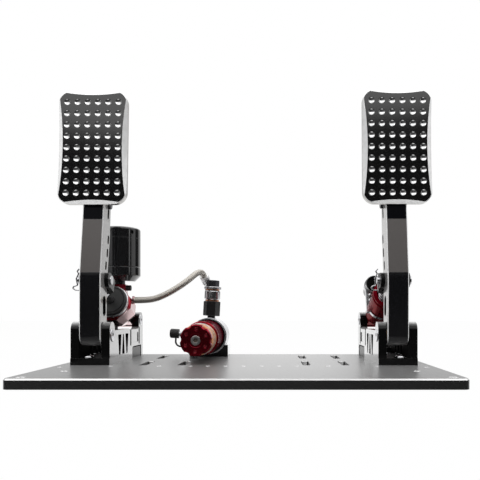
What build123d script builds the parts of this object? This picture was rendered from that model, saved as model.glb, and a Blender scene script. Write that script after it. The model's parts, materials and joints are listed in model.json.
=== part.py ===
from build123d import *
from math import atan2, cos, degrees, hypot, pi, radians, sin, tan
import os

# A two-pedal set for a driving simulator: a hydraulic brake and a damped throttle on one
# base plate, with the brake's slave cylinder and elastomer stack between them.
# Millimetres. X is across the set, +Y away from the driver, +Z up.
# The origin is the middle of the base plate's underside.

# Clearances and the overrun that every cut uses
running_gap = 0.05
seat_gap = 0.02
soft_gap = 0.3
pin_slack_brake = 0.25
pin_slack_throttle = 0.45
overrun = 1.0

# Base plate
plate_width = 430.0
plate_depth = 300.0
plate_thick = 10.0
plate_corner = 7.0
plate_chamfer = 1.4
hole_chamfer = 0.5
pedal_offset = 176.5
rig_hole_inset_x = 13.0
rig_hole_inset_y = 12.0
rig_hole_radius = 4.2
small_hole_radius = 2.2
large_hole_radius = 3.3
hole_row_y = -30.0
hole_pitch = 20.0
outer_hole_x = 95.0
far_hole_x = 150.0
flank_hole_inset = 33.0
flank_hole_y = -84.0
edge_hole_inset = 12.0
edge_hole_y = -43.0
slot_width = 9.0
slot_length = 51.0
slot_inner_x = 72.0
slot_spacing = 45.0
slot_front_y = 5.0
slot_rear_y = 97.0

# Pedal brackets: one billet channel each, two cheeks joined by a floor
bracket_width = 45.0
channel_width = 26.0
bracket_front = -20.0
bracket_rear = 137.0
bracket_floor = 8.0
foot_step = 1.2
cheek_height = 39.5
panel_length = 85.0
rear_panel_drop = 1.5
front_ear_radius = 10.2
rear_ear_radius = 11.0
ear_blend = 7.0
arch_start = 80.0
arch_end = 128.0
arch_height = 15.5
arch_round = 3.0
vent_foot = 8.8
vent_height = 25.0
vent_round = 1.2
# centre from the bracket's front, width at the top, width at the foot
vent_shares = ((0.482, 0.17, 0.07), (0.668, 0.053, 0.135), (0.862, 0.165, 0.06))
rear_slit_width = 5.5
rear_slit_height = 24.0
rear_slit_foot = 17.0
slit_round = 1.6
recess_depth = 0.8
recess_length = 30.0
recess_height = 13.0
recess_y = 96.5
recess_z = 37.0
edge_break = 0.6

# Bolts that hold the brackets and their rear blocks to the plate
bolt_radius = 3.0
bolt_head_radius = 6.2
bolt_head_height = 4.6
bolt_pocket_radius = 8.0
bolt_pocket_depth = 1.5
bolt_socket_radius = 2.3
bolt_socket_depth = 2.4
bolt_shift = 4.0
front_bolt_y = -13.0
second_bolt_y = 46.0
block_half_width = 22.0
block_gap = 1.0
block_height = 14.0
block_bolt_inset = 10.0

# Pivot of each pedal, and the pin at the rear of each bracket
pivot_y = -10.0
pivot_z = 44.0
axle_radius = 5.0
bush_wall = 2.0
bush_flange = 0.9
bush_flange_radius = 9.0
trunnion_y = 126.0
trunnion_z = 60.0
trunnion_radius = 5.0
clip_radius = 7.6
clip_thick = 1.6
clip_groove = 0.7

# Pedal arms
arm_width = 24.6
arm_end_radius = 12.0
arm_knee_z = 111.0
arm_knee_y = -20.5
arm_depth_at_top = 26.0
arm_top_z = 286.0
arm_bend_drop = 3.0
arm_rear_low = (5.0, 104.0)
arm_rear_mid = (17.0, 157.0)
arm_rear_high = (21.5, 196.0)
arm_knee_round = 45.0
arm_corner_round = 5.0
arm_edge = 1.1
pin_y = 0.0
pin_z = 108.6
pin_radius = 4.0
# slots through the arm: height, set-back from the arm's front face, length
arm_slots = ((125.5, 18.5, 11.0), (141.0, 21.5, 11.0), (157.0, 22.5, 11.0),
             (188.0, 18.0, 13.0), (212.0, 15.0, 13.0))
arm_slot_width = 5.5
low_slot_z = 78.0
low_slot_set_back = 14.3
low_slot_length = 24.0
low_slot_width = 11.0
brake_lean = 0.9
throttle_lean = 2.1
arm_slot_lean = 13.0

# Pedal faces
face_width = 80.0
face_height = 132.5
face_thick = 8.0
face_corner = 14.0
face_centre_y = -9.5
face_centre_z = 262.3
face_tilt = 4.0
face_rim = 0.9
bevel_reach_side = 5.7
bevel_reach_end = 4.4
bevel_drop = 4.5
dimple_columns = 6
dimple_rows = 9
dimple_pitch_across = 11.9
dimple_pitch_up = 13.4
dimple_radius = 3.5
dimple_depth = 1.5
face_screw_radius = 3.0
face_screw_head_radius = 5.0
face_screw_head_height = 3.2
face_screw_bite = 5.0
face_screw_places = (-27.0, 8.0)
clamp_screw_z = 199.0
clamp_screw_inset = 7.0

# Brake and throttle forks on the pin, and what slides behind them
fork_gap = 0.3
fork_cheek = 4.6
fork_radius = 9.0
fork_reach = 13.5
fork_bridge = 10.0
fork_half_height = 8.0
pin_overhang = 3.2
pin_head_radius = 5.4
pin_tail_side = -1
pin_head_thick = 1.8
clip_wire = 0.8
clip_reach = 9.0
clip_drop = 14.0
# out from the pin's hole and up from the pin, along the clip
clip_shares = ((0.0, 0.6), (0.0, -0.86), (0.6, -0.84), (0.98, -0.68), (0.85, -0.52), (0.34, -0.42),
               (0.52, 0.12), (0.2, 0.56), (0.4, 0.75), (0.14, 0.96))
brake_clip_turn = 0.0
throttle_clip_turn = 0.0
rod_radius = 5.0
nut_flats = 15.0
nut_length = 8.0
nut_start = 27.0

# Master cylinder, measured along its axis from the fork's pin
boot_thick = 4.0
boot_radius = 20.2
boot_lip = 1.2
ring_thick = 5.5
ring_radius = 21.7
collar_radius = 22.4
collar_thick = 2.5
master_body_start = 73.0
master_taper_start = 97.0
master_taper_end = 113.0
master_half_width = 24.0
master_half_height = 23.0
master_corner = 16.5
taper_half_width = 17.0
taper_half_height = 16.0
taper_corner = 9.0
lug_half_width = 12.3
lug_half_height = 9.0
lug_eye_radius = 10.0
master_bore = 9.5
master_bore_end = 106.0
piston_length = 18.0
piston_groove = 1.2
neck_half_width = 9.7
neck_corner = 4.0
neck_y = 100.0
neck_foot_z = 80.0
neck_top_z = 108.6
plug_radius = 3.8
plug_height_z = 103.8
plug_length = 6.0
outlet_radius = 5.4

# Fluid reservoir
tank_radius = 28.0
tank_bottom_z = 112.6
tank_top_z = 170.5
cap_top_z = 184.6
tank_wall = 3.0
tank_chamfer = 7.5
cap_round = 3.5
tank_groove = 0.8
ring_line_z = 131.0
cap_hole_count = 6
cap_hole_radius = 2.6
cap_hole_depth = 3.5
cap_hole_turn = -10.0
adapter_radius = 7.5
cap_spigot = 5.0

# Slave cylinder, lying along Y between the pedals
slave_x = -55.5
slave_z = 38.4
slave_lean = 3.0
slave_radius = 25.0
slave_front_y = 98.0
slave_rear_y = 145.0
slave_chamfer = 2.0
flange_radius = 23.4
flange_thick = 5.0
barrel_radius = 21.3
barrel_front_y = 34.0
piston_rim_radius = 21.3
piston_rim_thick = 5.2
piston_stem_radius = 16.0
slave_bore_end = 132.0
slave_piston_end = 124.0
stack_front_y = -10.0
elastomer_count = 3
elastomer_radius = 18.7
elastomer_waist = 0.9
washer_radius = 19.2
washer_thick = 1.2
cap_radius = 18.6
cap_thick = 11.0
cap_lobe_radius = 5.6
cap_screw_circle = 13.0
cap_screw_count = 6
cap_screw_radius = 1.2
cap_screw_head_radius = 2.0
cap_screw_head_height = 2.0
cap_screw_length = 7.0
cap_chamfer = 1.4
tie_radius = 5.0
tie_head_radius = 5.6
tie_head_height = 1.2
tie_socket_flats = 5.0
tie_socket_depth = 2.5
tie_recess_radius = 8.0
tie_recess_depth = 0.8
saddle_front_y = 103.0
saddle_rear_y = 142.0
saddle_half_width = 26.3
saddle_height = 16.0

# Hose union on the slave, measured up the leaning port from the slave's axis
port_y = 122.0
port_neck_radius = 5.4
port_neck_length = 3.0
port_hex_flats = 20.5
port_hex_length = 20.4
washer_copper_radius = 9.6
washer_copper_thick = 1.8
eye_radius = 11.0
eye_height = 13.4
eye_round = 2.2
bolt_flange_radius = 12.0
bolt_flange_thick = 3.4
banjo_hex_flats = 15.5
banjo_hex_height = 9.0
banjo_shank_radius = 5.0
neck_tube_radius = 3.6
neck_run = 23.0
neck_turn_radius = 6.0
neck_end_radius = 4.0
neck_azimuth = 116.0
ferrule_radius = 6.2
ferrule_length = 16.0
ferrule_grooves = 9
ferrule_groove_radius = 1.0
ferrule_lead = 5.0

# Bleed nipple on the slave's left side
nipple_hex_flats = 9.0
nipple_hex_length = 6.0
nipple_radius = 3.4
nipple_length = 22.0
bleed_cap_start = 19.5
bleed_cap_length = 12.4
bleed_cap_radius = 6.5
bleed_cap_round = 2.2
tether_radius = 1.2
tether_drop = 13.0

# Throttle damper, measured along its axis from the fork's pin
tube_start = 40.2
tube_end = 112.0
tube_radius = 17.0
tube_bore = 13.6
shaft_travel = 18.0
tube_rib_width = 2.0
tube_rib_height = 1.1
tube_rib_spacing = 8.0
damper_shaft_radius = 5.0
damper_shaft_end = 110.0
spring_seat_thick = 3.0
spring_end = 80.0
spring_radius = 10.2
spring_wire = 1.25
spring_turns = 8
piggy_radius = 11.7
piggy_start = 72.0
piggy_end = 101.0
piggy_across = 9.0
piggy_up = 28.6
bridge_radius = 5.0
bridge_station = 94.0
band_thick = 1.2
band_width = 6.0
band_station = 80.0
band_leg_foot = 9.0
band_leg_width = 3.4

# Brake hose, from the master cylinder's outlet to its ferrule
hose_radius = 4.2
hose_route = (
    (-150.0, 76.2, 86.7), (-134.5, 76.2, 86.7), (-120.0, 77.0, 89.2), (-101.0, 82.0, 99.0),
    (-82.0, 90.4, 113.2), (-73.4, 101.4, 123.2), (-69.0, 109.0, 126.2), (-65.6, 116.2, 125.6),
    (-64.5, 121.6, 121.8),
)


def area(low_x, high_x, low_y, high_y):
    """Rectangle between two corners of a sketch."""
    centre = Pos((low_x + high_x) / 2, (low_y + high_y) / 2)
    return centre * Rectangle(high_x - low_x, high_y - low_y)


def slab(outline, width):
    """Side outline drawn in Y and Z, given a width across X about the middle."""
    return extrude(Plane.YZ * outline, amount=width / 2, both=True)


def cross_pin(radius, width, y, z):
    """Cylinder across X, centred on the middle."""
    return Pos(0, y, z) * Rot(0, 90, 0) * Cylinder(radius, width)


def cross_disc(radius, start, length, y, z):
    """Cylinder along X from start, towards +X."""
    place = Pos(start, y, z) * Rot(0, 90, 0)
    return place * Cylinder(radius, length, align=(Align.CENTER, Align.CENTER, Align.MIN))


def hexagon_bar(flats, length):
    """Hexagonal bar standing on the XY plane."""
    return extrude(RegularPolygon(flats / 2, 6, major_radius=False), amount=length)


def rod(radius, length):
    """Round bar standing on the XY plane."""
    return Cylinder(radius, length, align=(Align.CENTER, Align.CENTER, Align.MIN))


def tube(outer, inner, length):
    """Round tube standing on the XY plane."""
    return extrude(Circle(outer) - Circle(inner), amount=length)


# The line from the fork's pin to the rear pin, which the master cylinder and the damper lie on
link_dy = trunnion_y - pin_y
link_dz = trunnion_z - pin_z
link_length = hypot(link_dy, link_dz)
link_slope = degrees(atan2(link_dz, link_dy))


def on_link(station, up=0.0, across=0.0):
    """Place on the cylinder line: local Z runs to the rear pin and local Y points down."""
    plane = Plane(origin=(0, pin_y, pin_z), x_dir=(1, 0, 0), z_dir=(0, link_dy, link_dz))
    return Location(plane) * Pos(across, -up, station)


def link_point(station, up=0.0):
    """The same place as plain Y and Z."""
    slope = radians(link_slope)
    return (pin_y + station * cos(slope) - up * sin(slope),
            pin_z + station * sin(slope) + up * cos(slope))


def base_plate():
    """Flat plate with mounting holes and four pairs of adjusting slots."""
    outline = RectangleRounded(plate_width, plate_depth, plate_corner)
    rig_across = plate_width - 2 * rig_hole_inset_x
    rig_along = plate_depth - 2 * rig_hole_inset_y
    rig = GridLocations(rig_across, rig_along, 2, 2) * Circle(rig_hole_radius)
    flank_x = plate_width / 2 - flank_hole_inset
    edge_x = plate_width / 2 - edge_hole_inset
    row = [Pos(step * hole_pitch, hole_row_y) * Circle(small_hole_radius)
           for step in range(-3, 4)]
    for side in (-1, 1):
        row.append(Pos(side * outer_hole_x, hole_row_y) * Circle(large_hole_radius))
        row.append(Pos(side * far_hole_x, hole_row_y) * Circle(small_hole_radius))
        row.append(Pos(side * flank_x, flank_hole_y) * Circle(large_hole_radius))
        row.append(Pos(side * edge_x, edge_hole_y) * Circle(small_hole_radius))
        for lane in (0, 1):
            x = side * (slot_inner_x + lane * slot_spacing)
            for y in (slot_front_y, slot_rear_y):
                row.append(Pos(x, y) * Rot(0, 0, 90) * SlotOverall(slot_length, slot_width))
    plate = extrude(outline, amount=plate_thick)
    rim = plate.faces().sort_by(Axis.Z)[-1].outer_wire().edges()
    plate = chamfer(rim, plate_chamfer)
    plate -= extrude(Sketch() + row + rig, amount=plate_thick)
    mouths = [wire.edges() for wire in plate.faces().sort_by(Axis.Z)[-1].inner_wires()]
    plate = chamfer([edge for edges in mouths for edge in edges], hole_chamfer)
    for x, y in bolt_places():
        plate -= Pos(x, y) * rod(bolt_radius, plate_thick)
    return plate


def bolt_places():
    """Where bolts enter the plate, both brackets and their blocks."""
    places = []
    for side in (-1, 1):
        centre = side * pedal_offset
        places.append((centre + side * bolt_shift, front_bolt_y))
        places.append((centre - side * bolt_shift, second_bolt_y))
        for y in (arch_start + block_bolt_inset, arch_end - block_bolt_inset):
            places.append((centre, y))
    return places


def bolt_seats():
    """Height that each bolt's head sits at, in the order of bolt_places."""
    floor = plate_thick + bracket_floor - bolt_pocket_depth
    block = plate_thick + block_height - bolt_pocket_depth
    return [floor, floor, block, block] * 2


def mount_bolt(seat_height):
    """Button-head bolt, its shank reaching the plate's underside less the overrun."""
    shank = seat_height - overrun
    dome = rod(bolt_head_radius, bolt_head_height)
    dome = fillet(dome.edges().sort_by(Axis.Z)[-1], bolt_head_height * 0.7)
    socket = Pos(0, 0, bolt_head_height - bolt_socket_depth)
    dome -= socket * hexagon_bar(bolt_socket_radius * 2, bolt_socket_depth + overrun)
    return Pos(0, 0, seat_height) * (dome + Pos(0, 0, -shank) * rod(bolt_radius - seat_gap, shank))


def cheek_outline():
    """One cheek seen from the side: two ears, a stepped top, an arch at the rear foot."""
    top = plate_thick + cheek_height
    panel_end = bracket_front + panel_length
    ear_front = bracket_front + front_ear_radius
    ear_rear_start = trunnion_y - rear_ear_radius
    front = area(bracket_front, panel_end, plate_thick, top)
    rear = area(panel_end, bracket_rear, plate_thick, top - rear_panel_drop)
    ears = Pos(ear_front, top) * Circle(front_ear_radius)
    ears += Pos(trunnion_y, trunnion_z) * Circle(rear_ear_radius)
    ears += area(ear_rear_start, trunnion_y + rear_ear_radius, top - rear_panel_drop, trunnion_z)
    outline = front + rear + ears
    inner = [v for v in outline.vertices()
             if abs(v.X - ear_rear_start) < edge_break and v.Y < trunnion_z - edge_break]
    outline = fillet(inner, ear_blend)
    arch = area(arch_start, arch_end, plate_thick, plate_thick + arch_height)
    arch = fillet(arch.vertices().group_by(Axis.Y)[-1], arch_round)
    arch += area(arch_start, arch_end, plate_thick - overrun, plate_thick + arch_round)
    return outline - arch


def vent(share, top_share, foot_share):
    """One slanted vent, wider at the top or at the foot."""
    y = bracket_front + share * panel_length
    low = plate_thick + vent_foot
    high = low + vent_height
    top_half = top_share * panel_length / 2
    foot_half = foot_share * panel_length / 2
    points = [(y - foot_half, low), (y + foot_half, low), (y + top_half, high), (y - top_half, high)]
    shape = make_face(Polyline(*points, close=True))
    return fillet(shape.vertices(), vent_round)


def bracket(outward):
    """Machined channel that carries a pedal between its cheeks."""
    outline = cheek_outline()
    for shares in vent_shares:
        outline -= vent(*shares)
    slit_length = rear_slit_height
    slit_z = plate_thick + rear_slit_foot + slit_length / 2
    ribs = (bracket_front + panel_length + rear_slit_width * 1.3, arch_end - rear_slit_width * 2.1)
    for y in ribs:
        outline -= Pos(y, slit_z) * RectangleRounded(rear_slit_width, slit_length, slit_round)
    body = slab(outline, bracket_width)
    floor_top = plate_thick + bracket_floor
    length = bracket_rear - bracket_front
    channel_height = trunnion_z + rear_ear_radius - floor_top
    channel = Pos(0, (bracket_front + bracket_rear) / 2, floor_top + channel_height)
    body -= channel * Box(channel_width, length + 2 * overrun, 2 * channel_height)
    body -= cross_pin(axle_radius + seat_gap, bracket_width + overrun, pivot_y, pivot_z)
    body -= cross_pin(trunnion_radius + seat_gap, bracket_width + overrun, trunnion_y, trunnion_z)
    for side in (-1, 1):
        for y, z in ((pivot_y, pivot_z), (trunnion_y, trunnion_z)):
            start = side * (bracket_width / 2 - clip_groove)
            mouth = cross_disc(clip_radius + running_gap, 0, clip_groove + overrun, y, z)
            body -= Pos(start, 0, 0) * (mouth if side > 0 else mirror(mouth, about=Plane.YZ))
        panel = Box(2 * recess_depth, recess_length, recess_height)
        body -= Pos(side * bracket_width / 2, recess_y, recess_z) * panel
    foot = Pos(0, bracket_front, plate_thick + bracket_floor / 2)
    foot = foot * Box(bracket_width, 2 * foot_step, bracket_floor)
    front_lip = foot.edges().filter_by(Axis.X).group_by(Axis.Z)[-1].sort_by(Axis.Y)[0]
    body += chamfer(front_lip, edge_break)
    for x, y in ((outward * bolt_shift, front_bolt_y), (-outward * bolt_shift, second_bolt_y)):
        body -= Pos(x, y, plate_thick - overrun) * rod(bolt_radius, bracket_floor + 2 * overrun)
        pocket = Pos(x, y, floor_top - bolt_pocket_depth)
        body -= pocket * rod(bolt_pocket_radius, bolt_pocket_depth + overrun)
    return body


def rear_block():
    """Clamp block in the arch between and under the cheeks."""
    length = arch_end - arch_start - 2 * block_gap
    centre_y = (arch_start + arch_end) / 2
    body = Pos(0, centre_y, plate_thick + block_height / 2)
    body = body * Box(2 * block_half_width, length, block_height)
    body = chamfer(body.edges().filter_by(Axis.Z), 2 * edge_break)
    for y in (arch_start + block_bolt_inset, arch_end - block_bolt_inset):
        body -= Pos(0, y, plate_thick - overrun) * rod(bolt_radius, block_height + 2 * overrun)
        pocket = Pos(0, y, plate_thick + block_height - bolt_pocket_depth)
        body -= pocket * rod(bolt_pocket_radius, bolt_pocket_depth + overrun)
    return body


def through_pin(radius, y, z):
    """Pin through both cheeks of a bracket, flush with their faces."""
    pin = cross_pin(radius, bracket_width - 2 * clip_groove, y, z)
    return chamfer(pin.edges().filter_by(GeomType.CIRCLE), edge_break)


def pin_caps(y, z):
    """Domed clips that close a pin's two ends."""
    start = bracket_width / 2 - clip_groove
    cap = cross_disc(clip_radius, start, clip_thick, y, z)
    cap = fillet(cap.edges().sort_by(Axis.X)[-1], clip_thick * 0.6)
    cap -= cross_disc(clip_radius / 3, start + clip_thick / 2, clip_thick, y, z)
    return [cap, mirror(cap, about=Plane.YZ)]


def face_location():
    """Middle of a pedal face's front: local Y up the face, local Z towards the driver."""
    tilt = radians(face_tilt)
    return Location(Plane(origin=(0, face_centre_y, face_centre_z), x_dir=(1, 0, 0),
                          z_dir=(0, -cos(tilt), sin(tilt))))


def face_back_y(z):
    """Where the back of a pedal face lies at a height."""
    tilt = radians(face_tilt)
    return face_centre_y + face_thick / cos(tilt) + (z - face_centre_z) * tan(tilt)


def arm_bend_z():
    """Height just below the face where an arm's front turns upright again."""
    return face_centre_z - face_height / 2 - arm_bend_drop


def arm_front_y(z):
    """Where the front of an arm lies at a height."""
    bend_z = arm_bend_z()
    if z < arm_knee_z:
        share = (z - pivot_z) / (arm_knee_z - pivot_z)
        low = pivot_y - arm_end_radius
        return low + share * (arm_knee_y - low)
    if z < bend_z:
        share = (z - arm_knee_z) / (bend_z - arm_knee_z)
        return arm_knee_y + share * (face_back_y(bend_z) - arm_knee_y)
    return face_back_y(z)


def arm_outline():
    """Arm seen from the side, from its round pivot end to its top behind the face."""
    bend_z = arm_bend_z()
    top_front = face_back_y(arm_top_z)
    points = [(pivot_y - arm_end_radius, pivot_z), (arm_knee_y, arm_knee_z),
              (face_back_y(bend_z), bend_z), (top_front, arm_top_z),
              (top_front + arm_depth_at_top, arm_top_z), arm_rear_high, arm_rear_mid,
              arm_rear_low, (pivot_y + arm_end_radius, pivot_z)]
    body = make_face(Polyline(*points, close=True))
    knees = [v for v in body.vertices() if pivot_z + edge_break < v.Y < arm_top_z - edge_break]
    bends = [v for v in knees if abs(v.Y - bend_z) > edge_break]
    body = fillet(bends, arm_knee_round)
    top = body.vertices().group_by(Axis.Y)[-1]
    body = fillet(top, arm_corner_round)
    return body + Pos(pivot_y, pivot_z) * Circle(arm_end_radius)


def leaned(shape, lean):
    """Turn a pedal's shape about its pivot, towards the driver."""
    return shape.rotate(Axis((0, pivot_y, pivot_z), (1, 0, 0)), lean)


def arm(inward, lean):
    """Pedal arm with its slots, pivot bore, pin bore and screw holes."""
    outline = arm_outline()
    for z, set_back, length in arm_slots:
        place = Pos(arm_front_y(z) + set_back, z) * Rot(0, 0, 90 - arm_slot_lean)
        outline -= place * SlotOverall(length, arm_slot_width)
    low_slot = Pos(arm_front_y(low_slot_z) + low_slot_set_back, low_slot_z) * Rot(0, 0, 90)
    outline -= low_slot * SlotOverall(low_slot_length, low_slot_width)
    body = slab(outline, arm_width)
    rims = [e for e in body.edges()
            if abs(abs(e.center().X) - arm_width / 2) < running_gap and e.length > 2 * arm_end_radius]
    body = chamfer(rims, arm_edge)
    body -= cross_pin(axle_radius + bush_wall, arm_width + overrun, pivot_y, pivot_z)
    for up in face_screw_places:
        body -= face_location() * Pos(0, up, 0) * screw_space(seat_gap)
    side_hole = clamp_screw_place() * rod(face_screw_radius, arm_width / 2)
    body -= side_hole if inward > 0 else mirror(side_hole, about=Plane.YZ)
    return leaned(body, lean) - cross_pin(pin_radius + seat_gap, arm_width + overrun, pin_y, pin_z)


def screw_depth(up):
    """How far behind the face's front the arm's rear lies, at a place up the face."""
    location = face_location() * Pos(0, up, 0)
    z = location.position.Z
    rear = [arm_rear_high, (face_back_y(arm_top_z) + arm_depth_at_top, arm_top_z)]
    share = (z - rear[0][1]) / (rear[1][1] - rear[0][1])
    return rear[0][0] + share * (rear[1][0] - rear[0][0]) - location.position.Y


def screw_space(gap):
    """Hole for a face screw through the arm, on a plane at the face's front."""
    length = 2 * (face_thick + arm_depth_at_top)
    return Pos(0, 0, -length) * rod(face_screw_radius + gap, length)


def clamp_screw_place():
    """Where the side screw below the face enters the arm, from +X."""
    y = arm_front_y(clamp_screw_z) + arm_depth_at_top - clamp_screw_inset
    return Pos(arm_width / 2, y, clamp_screw_z) * Rot(0, -90, 0)


def face_screws(inward):
    """Two screws from behind the arm into the face, and the side screw below it."""
    screws = []
    for up in face_screw_places:
        depth = screw_depth(up)
        shank = depth - face_thick + face_screw_bite
        place = face_location() * Pos(0, up, -depth)
        head = Pos(0, 0, -face_screw_head_height - seat_gap)
        head = head * rod(face_screw_head_radius, face_screw_head_height)
        screws.append(place * (head + Pos(0, 0, -seat_gap) * rod(face_screw_radius, shank)))
    shank = rod(face_screw_radius - seat_gap, arm_width / 2 - overrun)
    head = Pos(0, 0, -face_screw_head_height) * rod(face_screw_head_radius, face_screw_head_height)
    head = chamfer(head.edges().sort_by(Axis.Z)[0], edge_break)
    side = clamp_screw_place() * (head + shank)
    screws.append(side if inward > 0 else mirror(side, about=Plane.YZ))
    return screws


def bevel(half_width, half_length, reach):
    """Large inclined roller that leaves a bevel widest at the middle of one side."""
    slant = hypot(reach, bevel_drop)
    sag = reach * bevel_drop / slant
    radius = (half_length ** 2 + sag ** 2) / (2 * sag)
    start = Plane(origin=(half_width - reach, 0, 0), x_dir=(0, 1, 0), z_dir=(reach, 0, -bevel_drop))
    roller = Cylinder(radius, 4 * slant)
    return Location(start) * Pos(0, radius, 0) * roller


def face_plate():
    """Pedal face: rounded plate, four hollow bevels and rows of round dimples."""
    body = extrude(RectangleRounded(face_width, face_height, face_corner), amount=-face_thick)
    body = chamfer(body.faces().sort_by(Axis.Z)[-1].edges(), face_rim)
    half_width = face_width / 2
    half_height = face_height / 2
    side = bevel(half_width, half_height, bevel_reach_side)
    end = Rot(0, 0, 90) * bevel(half_height, half_width, bevel_reach_end)
    for turn in (0, 180):
        body -= Rot(0, 0, turn) * side
        body -= Rot(0, 0, turn) * end
    ball = (dimple_radius ** 2 + dimple_depth ** 2) / (2 * dimple_depth)
    grid = GridLocations(dimple_pitch_across, dimple_pitch_up, dimple_columns, dimple_rows)
    dimple = Pos(0, 0, ball - dimple_depth) * Sphere(ball)
    body -= [spot * dimple for spot in grid.locations]
    for up in face_screw_places:
        hole = Pos(0, up, -face_thick - overrun)
        body -= hole * rod(face_screw_radius + seat_gap, face_screw_bite + overrun + seat_gap)
    return face_location() * body


def bushes():
    """Flanged bushes in both ends of the arm's pivot bore."""
    flange = channel_width / 2 - arm_width / 2 - 2 * running_gap
    half = arm_width / 2
    bush = cross_disc(axle_radius + bush_wall - seat_gap, overrun, half - overrun, pivot_y, pivot_z)
    bush += cross_disc(bush_flange_radius, half, flange, pivot_y, pivot_z)
    bush -= cross_pin(axle_radius + running_gap, channel_width, pivot_y, pivot_z)
    return [bush, mirror(bush, about=Plane.YZ)]


def fork_outer():
    """Half of the fork's width across both its cheeks."""
    return arm_width / 2 + fork_gap + fork_cheek


def fork(slack):
    """Fork that straddles the arm on its pin and holds the rod behind it."""
    inner = arm_width / 2 + fork_gap
    outer = fork_outer()
    cheek = Circle(fork_radius) + area(0, fork_reach + fork_bridge, -fork_half_height, fork_half_height)
    turned = Location(Plane(origin=(0, 0, 0), x_dir=(0, 0, 1), z_dir=(1, 0, 0)))
    body = extrude(turned * cheek, amount=outer, both=True)
    space = area(-2 * fork_radius, fork_reach, -2 * fork_radius, 2 * fork_radius)
    body -= extrude(turned * space, amount=inner, both=True)
    body -= extrude(turned * Circle(pin_radius + slack), amount=2 * outer, both=True)
    ends = body.edges().filter_by(Axis.Y).sort_by(Axis.Z)[-2:]
    body = chamfer(ends, outer / 3)
    body -= Pos(0, 0, fork_reach + fork_bridge / 2) * rod(rod_radius + seat_gap, 2 * fork_bridge)
    return on_link(0) * body


def clevis_pin(outward, turn):
    """Headed pin through the fork and the arm."""
    outer = fork_outer()
    length = 2 * outer + 2 * fork_gap + pin_overhang
    start = -outer - fork_gap
    pin = cross_disc(pin_radius, start, length, pin_y, pin_z)
    pin += cross_disc(pin_head_radius, start - pin_head_thick, pin_head_thick, pin_y, pin_z)
    pin -= Pos(outer + clip_seat(), pin_y, pin_z) * Cylinder(clip_wire + running_gap, 4 * pin_radius)
    pin = pin.rotate(Axis((0, pin_y, pin_z), (1, 0, 0)), turn)
    return pin if outward > 0 else mirror(pin, about=Plane.YZ)


def clip_seat():
    """How far outside the fork the clip's straight leg passes through the pin."""
    return fork_gap + clip_wire + 2 * running_gap


def pin_clip(outward, turn):
    """Sprung wire clip: a straight leg through the pin, a loop and a waved leg outside."""
    x = fork_outer() + clip_seat()
    path = FilletPolyline(*[
        (x + out * clip_reach, pin_y, pin_z + up * clip_drop) for out, up in clip_shares
    ], radius=clip_wire * 1.2)
    start = Plane(origin=path @ 0, z_dir=path % 0)
    clip = sweep(start * Circle(clip_wire), path=path)
    clip = clip.rotate(Axis((0, pin_y, pin_z), (1, 0, 0)), turn)
    return clip if outward > 0 else mirror(clip, about=Plane.YZ)


def lock_nut():
    """Hexagonal nut that locks the fork on its rod."""
    nut = hexagon_bar(nut_flats, nut_length) - rod(rod_radius + seat_gap, nut_length)
    return on_link(nut_start + seat_gap) * nut


def octagon(half_width, half_height, corner):
    """Rectangle with its four corners cut off."""
    shape = Rectangle(2 * half_width, 2 * half_height)
    return chamfer(shape.vertices(), corner)


def master_body():
    """Faceted cylinder body with its rear lug, bore and reservoir neck."""
    full = octagon(master_half_width, master_half_height, master_corner)
    small = octagon(taper_half_width, taper_half_height, taper_corner)
    body = extrude(full, amount=master_taper_start - master_body_start)
    body = Pos(0, 0, master_body_start) * body
    tail = loft([Pos(0, 0, master_taper_start) * full, Pos(0, 0, master_taper_end) * small])
    collar = Pos(0, 0, master_body_start - collar_thick) * rod(collar_radius, collar_thick)
    turned = Location(Plane(origin=(0, 0, 0), x_dir=(0, 0, 1), z_dir=(1, 0, 0)))
    lug = area(master_taper_end - overrun, link_length, -lug_half_height, lug_half_height)
    lug += Pos(link_length, 0) * Circle(lug_eye_radius)
    lug = extrude(turned * lug, amount=lug_half_width, both=True)
    eye = extrude(turned * (Pos(link_length, 0) * Circle(trunnion_radius + running_gap)),
                  amount=lug_half_width + overrun, both=True)
    body = on_link(0) * (body + tail + collar + lug - eye)
    neck = Pos(0, neck_y, neck_foot_z)
    neck = neck * extrude(octagon(neck_half_width, neck_half_width, neck_corner),
                          amount=neck_top_z - neck_foot_z)
    body += neck
    bore_start = master_body_start - collar_thick - overrun
    body -= on_link(bore_start) * rod(master_bore, master_bore_end - bore_start)
    body -= Pos(0, neck_y, neck_top_z - overrun) * rod(adapter_radius * 0.6, 2 * overrun)
    return body


def master_piston():
    """Piston in the master cylinder, with a seal groove."""
    radius = master_bore - running_gap
    body = rod(radius, piston_length)
    groove = tube(radius + overrun, radius - piston_groove, 2 * piston_groove)
    body -= Pos(0, 0, piston_length * 0.3) * groove
    return on_link(master_body_start) * body


def master_ring():
    """Bright retaining ring in front of the body."""
    start = master_body_start - collar_thick - ring_thick
    ring = tube(ring_radius, master_bore, ring_thick)
    ring = chamfer(ring.edges().sort_by(SortBy.LENGTH)[-2:], edge_break)
    return on_link(start) * ring


def master_boot():
    """Black dust cover round the rod."""
    hole = rod_radius + soft_gap
    half = Polyline(
        (hole, 0), (boot_radius - boot_lip, 0), (boot_radius, boot_lip), (boot_radius, boot_thick),
        (hole, boot_thick), (hole, 0))
    cover = revolve(Plane.XZ * make_face(half), Axis.Z)
    groove = tube(boot_radius - 2 * boot_lip, boot_radius - 3 * boot_lip, boot_lip)
    start = master_body_start - collar_thick - ring_thick - boot_thick
    return on_link(start) * (cover - groove)


def pushrod():
    """Rod from the fork to the piston."""
    start = fork_reach + fork_bridge / 2
    return on_link(start) * rod(rod_radius, master_body_start - start)


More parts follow.
